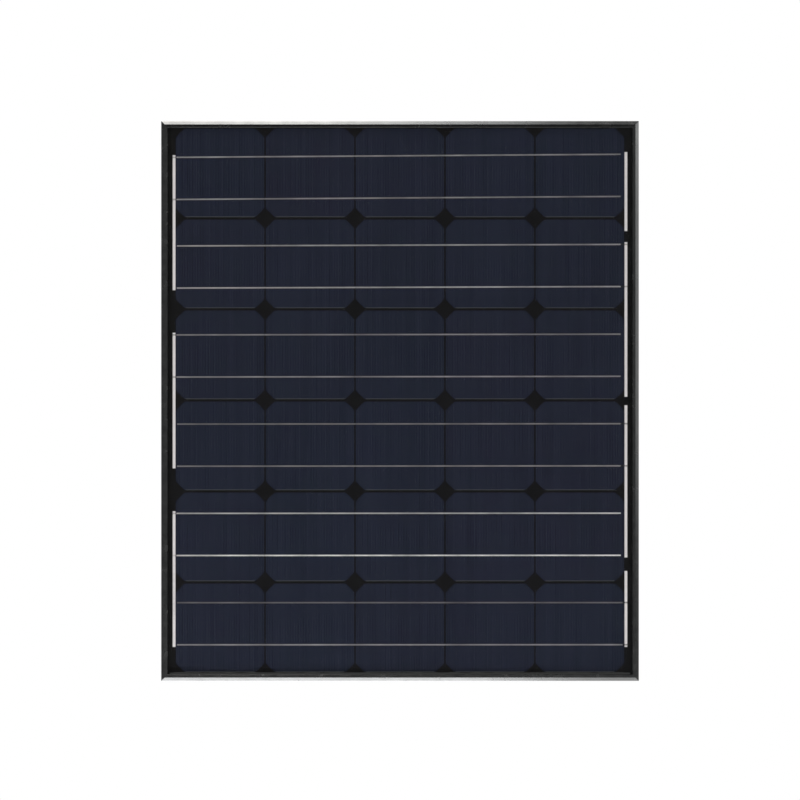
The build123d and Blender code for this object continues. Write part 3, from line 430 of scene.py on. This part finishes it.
def bare_metal(name, dark, pale, roughness, stretch=(1.0, 1.0, 1.0)):
    """Plated or bare metal with brushed lines and faint stains."""
    finish = Finish(name)
    brushed = finish.noise(2200.0, 3.0, stretch)
    stains = finish.noise(180.0, 5.0)
    body = finish.colours(stains, dark, pale)
    deeper = tuple(0.6 * value for value in dark)
    finish.colour(finish.colours(finish.between(brushed, 0.4, 0.7, 0.0, 0.35), body, deeper))
    finish.rough(finish.between(stains, 0.3, 0.7, roughness, roughness + 0.15))
    finish.bump(brushed, 0.015 * MM, 0.5)
    finish.plain(Metallic=1.0)
    return finish.material


DIODE_HALF = 4.76 * MM  # from its middle to where its wires come out
BAND_OFFSET = 2.65 * MM
BAND_WIDTH = 1.4 * MM


def diode_body(name):
    """Black epoxy with a pale polarity band, and tinned wires beyond its ends."""
    finish = Finish(name)
    low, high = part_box(name)
    from_middle = finish.maths("SUBTRACT", finish.axes()[2], (low.z + high.z) / 2)
    from_band = finish.maths("ABSOLUTE", finish.maths("SUBTRACT", from_middle, BAND_OFFSET))
    wire = finish.maths("GREATER_THAN", finish.maths("ABSOLUTE", from_middle), DIODE_HALF)
    band = finish.maths("LESS_THAN", from_band, BAND_WIDTH / 2)
    grain = finish.noise(1800.0, 3.0)
    epoxy = finish.colours(grain, (0.010, 0.010, 0.011), (0.022, 0.022, 0.024))
    marked = finish.colours(band, epoxy, (0.55, 0.55, 0.54))
    finish.colour(finish.colours(wire, marked, (0.72, 0.71, 0.69)))
    finish.rough(finish.between(grain, 0.3, 0.7, 0.3, 0.42))
    finish.links.new(wire, finish.surface.inputs["Metallic"])
    finish.bump(grain, 0.02 * MM, 0.4)
    return finish.material


def fine_dust():
    """Grey dust, a little paler in patches."""
    finish = Finish("fine_dust")
    grain = finish.noise(1800.0, 4.0)
    patches = finish.noise(14.0, 4.0)
    body = finish.colours(grain, (0.036, 0.037, 0.035), (0.062, 0.063, 0.060))
    finish.colour(finish.colours(finish.between(patches, 0.3, 0.7), body, (0.05, 0.052, 0.052)))
    finish.rough(finish.between(grain, 0.3, 0.7, 0.8, 0.95))
    finish.bump(grain, 0.03 * MM, 0.5)
    finish.plain(Specular_IOR_Level=0.1)
    return finish.material


def pale_floor():
    finish = Finish("pale_floor")
    clouds = finish.noise(1.2, 3.0)
    finish.colour(finish.colours(clouds, (0.80, 0.80, 0.79), (0.84, 0.84, 0.83)))
    finish.rough(finish.between(clouds, 0.3, 0.7, 0.75, 0.85))
    return finish.material


def finish_node(name, material):
    """Gives a CAD node its material, in every slot that it has."""
    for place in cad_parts[name].material_slots:
        place.material = material


# ---------------------------------------------------------------- where things are
row_boxes = [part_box(f"cell_row_{number}") for number in range(1, ROWS + 1)]
cell = row_boxes[0][1].z - row_boxes[0][0].z
pitch_x = (row_boxes[0][1].x - row_boxes[0][0].x - cell) / (COLUMNS - 1)
pitch_z = row_boxes[0][0].z - row_boxes[1][0].z
cell_front = row_boxes[0][0].y
lowest_cell = Vector((row_boxes[-1][0].x, cell_front, row_boxes[-1][0].z))
ribbon_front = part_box("cell_ribbons_row_1")[0].y


def new_piece(name, mesh, material, body, smooth=False):
    """Puts a finished mesh in the scene, riding on a CAD body."""
    piece = bpy.data.objects.new(name, mesh)
    bpy.context.scene.collection.objects.link(piece)
    mesh.materials.append(material)
    if smooth:
        for face in mesh.polygons:
            face.use_smooth = True
    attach(piece, body)
    return piece


def mesh_from(name, points, faces):
    mesh = bpy.data.meshes.new(name)
    mesh.from_pydata([tuple(p) for p in points], [], faces)
    mesh.validate()
    return mesh


# ---------------------------------------------------------------- printed contact lines
WAFER_RADIUS = 80 * MM
FINGERS = 54
FINGER_WIDTH = 0.11 * MM
FINGER_HEIGHT = 0.018 * MM
FINGER_TOP = 0.55  # width at the top of a line, as a share of its foot
SIDE_MARGIN = 1.6 * MM
END_MARGIN = 0.4 * MM
EDGE_LINE_WIDTH = 0.5 * MM
EDGE_LINE_MARGIN = 0.3 * MM


def add_line(points, faces, start, end, width):
    """One printed line on the cells' front, with sloping sides. start and end are (x, z)."""
    along = Vector((end[0] - start[0], 0.0, end[1] - start[1])).normalized()
    side = Vector((along.z, 0.0, -along.x)) * (width / 2)
    base = len(points)
    for place in (start, end):
        foot = Vector((place[0], cell_front, place[1]))
        top = foot - Vector((0.0, FINGER_HEIGHT, 0.0))
        points += [foot - side, foot + side, top + side * FINGER_TOP, top - side * FINGER_TOP]
    quads = [(0, 1, 2, 3), (7, 6, 5, 4)] + [(i, 4 + i, 4 + (i + 1) % 4, (i + 1) % 4) for i in range(4)]
    faces += [tuple(base + i for i in reversed(quad)) for quad in quads]


def print_reach(offset):
    """How far from a cell's middle its print reaches, this far to the side of it."""
    return min(cell / 2, math.sqrt(WAFER_RADIUS**2 - offset**2) - SIDE_MARGIN) - END_MARGIN


def make_contact_lines(silver):
    edge = cell / 2 - SIDE_MARGIN
    for number, (low, high) in enumerate(row_boxes, 1):
        points, faces = [], []
        middle_z = (low.z + high.z) / 2
        for column in range(COLUMNS):
            middle_x = low.x + cell / 2 + column * pitch_x
            for finger in range(FINGERS):
                offset = -edge + 2 * edge * finger / (FINGERS - 1)
                reach = print_reach(offset)
                x = middle_x + offset
                add_line(points, faces, (x, middle_z - reach), (x, middle_z + reach), FINGER_WIDTH)
        name = f"contact_lines_row_{number}"
        new_piece(name, mesh_from(name, points, faces), silver, PANEL)


def make_edge_lines(silver):
    """The paler line along each cell's lower edge."""
    points, faces = [], []
    drop = cell / 2 - EDGE_LINE_MARGIN
    reach = math.sqrt(WAFER_RADIUS**2 - drop**2) - SIDE_MARGIN
    for low, high in row_boxes:
        lower = (low.z + high.z) / 2 - drop
        for column in range(COLUMNS):
            middle_x = low.x + cell / 2 + column * pitch_x
            start, end = (middle_x - reach, lower), (middle_x + reach, lower)
            add_line(points, faces, start, end, EDGE_LINE_WIDTH)
    new_piece("cell_edge_lines", mesh_from("cell_edge_lines", points, faces), silver, PANEL)


# ---------------------------------------------------------------- clear film behind the glass
FILM_GAP = 0.012 * MM
FILM_WAVE = 0.5 * MM
FILM_STEPS = 40


def make_front_film(material):
    """The clear film, with the slightly uneven outline that it takes when it is pressed."""
    low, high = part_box("front_encapsulant")
    y_front = low.y + FILM_GAP
    y_back = ribbon_front - FILM_GAP
    corners = [(low.x, low.z), (high.x, low.z), (high.x, high.z), (low.x, high.z)]
    outline = []
    for start, end in zip(corners, corners[1:] + corners[:1]):
        for step in range(FILM_STEPS):
            x = start[0] + (end[0] - start[0]) * step / FILM_STEPS
            z = start[1] + (end[1] - start[1]) * step / FILM_STEPS
            inset = FILM_WAVE * (1.2 + noise.noise((x * 30, 0.0, z * 30)))
            outline.append((x - math.copysign(inset, x), z - math.copysign(inset, z)))
    count = len(outline)
    points = [(x, y, z) for y in (y_front, y_back) for x, z in outline]
    faces = [tuple(range(count)), tuple(reversed(range(count, 2 * count)))]
    faces += [(i, i + count, (i + 1) % count + count, (i + 1) % count) for i in range(count)]
    film = new_piece("front_film", mesh_from("front_film", points, faces), material, PANEL)
    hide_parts("front_encapsulant")


# ---------------------------------------------------------------- solder, sealant and dust
SOLDER_HALF = (1.9 * MM, 1.7 * MM)
SOLDER_HEIGHT = 0.16 * MM
SOLDER_UNEVEN = 0.16
DOME_RINGS = 5
DOME_STEPS = 18
NEAR_BUS_X = 0.3  # ribbon corners further out than this end at a bus


def dome(points, faces, centre, half_x, half_z, height, seed):
    """A low puddle of solder on the ribbons, its outline a little uneven."""
    rings, steps = DOME_RINGS, DOME_STEPS
    base = len(points)
    for ring in range(rings):
        turn = math.pi / 2 * ring / rings
        for step in range(steps):
            angle = 2 * math.pi * step / steps
            cosine, sine = math.cos(angle), math.sin(angle)
            uneven = 1 + SOLDER_UNEVEN * noise.noise((cosine + seed, sine, seed * 0.7))
            reach = math.cos(turn) * uneven
            offset = (half_x * reach * cosine, -height * math.sin(turn), half_z * reach * sine)
            points.append(Vector(centre) + Vector(offset))
    points.append(Vector(centre) - Vector((0.0, height, 0.0)))
    top = len(points) - 1
    for ring in range(rings - 1):
        for step in range(steps):
            a = base + ring * steps + step
            b = base + ring * steps + (step + 1) % steps
            faces.append((a, b, b + steps, a + steps))
    last = base + (rings - 1) * steps
    faces += [(last + step, last + (step + 1) % steps, top) for step in range(steps)]
    faces.append(tuple(base + step for step in reversed(range(steps))))


def make_solder(material):
    """A solder joint where each row's ribbons meet the upright ribbons at the two sides."""
    for side, side_name in ((-1, "left"), (1, "right")):
        points, faces = [], []
        bus_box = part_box(f"bus_{side_name}_upper")
        bus_x = (bus_box[0].x + bus_box[1].x) / 2
        for number, (low, high) in enumerate(row_boxes, 1):
            corners = [v.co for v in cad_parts[f"cell_ribbons_row_{number}"].data.vertices]
            ends = [corner.z for corner in corners if corner.x * side > NEAR_BUS_X]
            middle_z = (low.z + high.z) / 2
            for upper in (True, False):
                heights = [z for z in ends if (z > middle_z) == upper]
                centre = (bus_x, cell_front, (min(heights) + max(heights)) / 2)
                seed = number + 10 * upper + 3 * side
                dome(points, faces, centre, *SOLDER_HALF, SOLDER_HEIGHT, seed)
        name = f"solder_joints_{side_name}"
        mesh = mesh_from(name, points, faces)
        new_piece(name, mesh, material, PANEL, smooth=True)


BEAD_CORNER = 6.0 * MM
BEAD_OUTSET = 0.2 * MM
BEAD_WIDTH = 1.7 * MM
BEAD_HEIGHT = 1.1 * MM
BEAD_STEPS = 240
BEAD_SECTION = 8


def make_sealant_bead(material):
    """The sealant squeezed out round the junction box's flange."""
    low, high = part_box("junction_box_adhesive")
    corner = BEAD_CORNER
    middle = Vector(((low.x + high.x) / 2, low.y, (low.z + high.z) / 2))
    straight_x = (high.x - low.x) / 2 + BEAD_OUTSET - corner
    straight_z = (high.z - low.z) / 2 + BEAD_OUTSET - corner
    quarter = corner * math.pi / 2
    length = 4 * (straight_x + straight_z + quarter)

    def at(distance):
        """Place and outward direction on the rounded rectangle."""
        legs = [2 * straight_z, 2 * straight_x] * 2
        signs = [(1, 1), (-1, 1), (-1, -1), (1, -1)]
        for turn, (leg, (sign_x, sign_z)) in enumerate(zip(legs, signs)):
            cx, cz = sign_x * straight_x, sign_z * straight_z
            angle = math.pi / 2 * turn
            if distance < leg:
                out = Vector((math.cos(angle), 0.0, math.sin(angle)))
                along = Vector((-math.sin(angle), 0.0, math.cos(angle)))
                return Vector((cx, 0.0, cz)) - along * (leg - distance) + out * corner, out
            distance -= leg
            if distance < quarter:
                angle += distance / corner
                out = Vector((math.cos(angle), 0.0, math.sin(angle)))
                return Vector((cx, 0.0, cz)) + out * corner, out
            distance -= quarter
        out = Vector((1.0, 0.0, 0.0))
        return Vector((straight_x, 0.0, -straight_z)) + out * corner, out

    points, faces = [], []
    for step in range(BEAD_STEPS):
        place, out = at(length * step / BEAD_STEPS)
        swell = 1 + 0.35 * noise.noise(place * 130) + 0.25 * noise.noise(place * 420)
        for part in range(BEAD_SECTION):
            angle = math.pi * part / (BEAD_SECTION - 1)
            across = math.cos(angle) * BEAD_WIDTH * swell * 0.5
            rise = Vector((0.0, math.sin(angle) * BEAD_HEIGHT * swell, 0.0))
            points.append(middle + place + out * (across + BEAD_WIDTH * 0.3) + rise)
    for step in range(BEAD_STEPS):
        after = (step + 1) % BEAD_STEPS
        for part in range(BEAD_SECTION):
            other = (part + 1) % BEAD_SECTION
            faces.append((step * BEAD_SECTION + part, after * BEAD_SECTION + part,
                          after * BEAD_SECTION + other, step * BEAD_SECTION + other))
    mesh = mesh_from("sealant_bead", points, faces)
    new_piece("sealant_bead", mesh, material, PANEL, smooth=True)


LIP_REACH = 9.1 * MM  # how far the frame's front lip comes in
DUST_HEIGHT = 3.4 * MM
DUST_THICKNESS = 0.06 * MM
DUST_STEPS = 600


def make_dust_line(material):
    """The line of fine dust that rain leaves on the glass along the lower lip."""
    low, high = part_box("glass_cover")
    lip_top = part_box("frame_bottom")[0].z + LIP_REACH
    front = low.y - DUST_THICKNESS
    points, faces = [], []
    for step in range(DUST_STEPS + 1):
        x = (low.x + LIP_REACH) + (high.x - low.x - 2 * LIP_REACH) * step / DUST_STEPS
        uneven = 0.22 * noise.noise((x * 60, 0.0, 4.0)) + 0.12 * noise.noise((x * 260, 0.0, 9.0))
        top = lip_top + DUST_HEIGHT * (0.86 + uneven)
        section = ((low.y, lip_top), (front, lip_top), ((low.y + front) / 2, top), (low.y, top))
        points += [(x, y, z) for y, z in section]
    for step in range(DUST_STEPS):
        base = 4 * step
        faces += [(base + i, base + (i + 1) % 4, base + 4 + (i + 1) % 4, base + 4 + i) for i in range(4)]
    last = 4 * DUST_STEPS
    faces += [(3, 2, 1, 0), (last, last + 1, last + 2, last + 3)]
    new_piece("dust_line", mesh_from("dust_line", points, faces), material, PANEL)


def make_floor():
    mesh = bpy.data.meshes.new("floor")
    work = bmesh.new()
    bmesh.ops.create_grid(work, x_segments=8, y_segments=8, size=FLOOR_SIZE / 2)
    work.to_mesh(mesh)
    work.free()
    floor = bpy.data.objects.new("floor", mesh)
    bpy.context.scene.collection.objects.link(floor)
    floor.location.z = FLOOR_Z
    mesh.materials.append(pale_floor())


# ---------------------------------------------------------------- put together
# Painted sheen: how bright each row's upper and lower ribbon is painted, from the top row down, in place of
# how each catches the lamps
RIBBON_PAINTED_SHEEN = [(0.33, 0.31), (0.38, 0.44), (0.23, 0.29), (0.20, 0.24), (0.56, 0.92), (0.14, 0.31)]
BUS_LEVEL = 1.5
# The ribbon is drawn near black over the last stretch before each bus.
BUS_INNER_X = 317.0 * MM
LEFT_DARK_END = 1.3 * MM
RIGHT_DARK_ENDS = [5.5 * MM] * 4 + [2.6 * MM] * 2  # the last stretch before the right-hand bus, row by row


def finish_cad_nodes():
    # The last argument is the painted shade on the front lip: a little on the right rail, more on the top
    # rail.
    upright = anodised("anodised_upright", 2, 0.1)
    level = anodised("anodised_level", 0, 0.6)
    for name in ("frame_left", "frame_right"):
        finish_node(name, upright)
    for name in ("frame_top", "frame_bottom"):
        finish_node(name, level)
    cast = bare_metal("mill_aluminium", (0.62, 0.62, 0.63), (0.75, 0.75, 0.76), 0.4)
    seal = rubber("black_seal", (0.006, 0.006, 0.006), (0.012, 0.012, 0.012))
    cells = silicon()
    bus = tinned("tinned_bus", BUS_LEVEL, BUS_LEVEL, 0.0, metallic=0.05)
    lead = tinned("tinned_lead", 0.6, 0.6, 0.0)
    box_plastic = moulded("box_plastic", (0.019, 0.019, 0.020), (0.032, 0.032, 0.033), 0.4)
    gland_plastic = moulded("gland_plastic", (0.014, 0.014, 0.015), (0.026, 0.026, 0.027), 0.34, 0.015)
    silicone = rubber("grey_silicone", (0.035, 0.035, 0.037), (0.055, 0.055, 0.058), 0.55)
    steel = bare_metal("stainless_steel", (0.50, 0.50, 0.51), (0.64, 0.64, 0.65), 0.25)
    plated = bare_metal("tinned_brass", (0.58, 0.55, 0.48), (0.72, 0.70, 0.64), 0.3, (0.02, 1.0, 1.0))
    spring = bare_metal("spring_steel", (0.40, 0.41, 0.43), (0.56, 0.57, 0.60), 0.22)
    finish_node("rear_encapsulant", black_film("black_encapsulant", 0.42))
    finish_node("edge_seal", seal)
    finish_node("glass_cover", clear_glass())
    finish_node("lead_insulation", black_film("insulation_film"))
    finish_node("backsheet", black_film("backsheet_film", shows_cells=True))
    finish_node("junction_box_adhesive", seal)
    for name in ("junction_box_base", "junction_box_lid"):
        finish_node(name, box_plastic)
    for name in ("gland_bodies", "gland_locknuts", "gland_cap_nuts"):
        finish_node(name, gland_plastic)
    for name in ("lid_seal", "gland_seals"):
        finish_node(name, silicone)
    for name in ("lid_hinge_pins", "clamp_screws"):
        finish_node(name, steel)
    finish_node("cable_clamps", plated)
    finish_node("ribbon_clips", spring)
    for number, (low, high) in enumerate(row_boxes, 1):
        middle_z = (low.z + high.z) / 2
        upper, lower = RIBBON_PAINTED_SHEEN[number - 1]
        finish_node(f"cell_row_{number}", cells)
        dark_end_left = (-BUS_INNER_X, LEFT_DARK_END - BUS_INNER_X)
        dark_end_right = (BUS_INNER_X - RIGHT_DARK_ENDS[number - 1], BUS_INNER_X)
        darkened_stretches = (dark_end_left, dark_end_right)
        # Each row's ribbons get their own copy of the tinned finish, with their own painted sheen.
        ribbons = tinned(f"tinned_row_{number}", upper, lower, middle_z, darkened_stretches)
        finish_node(f"cell_ribbons_row_{number}", ribbons)
    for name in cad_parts:
        if name.startswith("corner_key"):
            finish_node(name, cast)
        elif name.startswith("bus_"):
            finish_node(name, bus)
        elif name.startswith("lead_out"):
            finish_node(name, lead)
        elif name.startswith("terminal_rail"):
            finish_node(name, plated)
        elif name.startswith("bypass_diode"):
            finish_node(name, diode_body(name))
    return bus, seal


bpy.context.scene.view_settings.view_transform = "Standard"
make_camera()
make_world()
make_lights()
make_floor()
bus_finish, seal_finish = finish_cad_nodes()
make_contact_lines(printed_silver("printed_fingers", (0.06, 0.075, 0.12), (0.12, 0.14, 0.20)))
# The paler line along each cell's lower edge is drawn with the same kind of finish as the fingers, paler.
make_edge_lines(printed_silver("pale_edge_lines", (0.09, 0.10, 0.10), (0.16, 0.175, 0.175)))
make_front_film(cured_film())
make_solder(bus_finish)
make_sealant_bead(seal_finish)
make_dust_line(fine_dust())
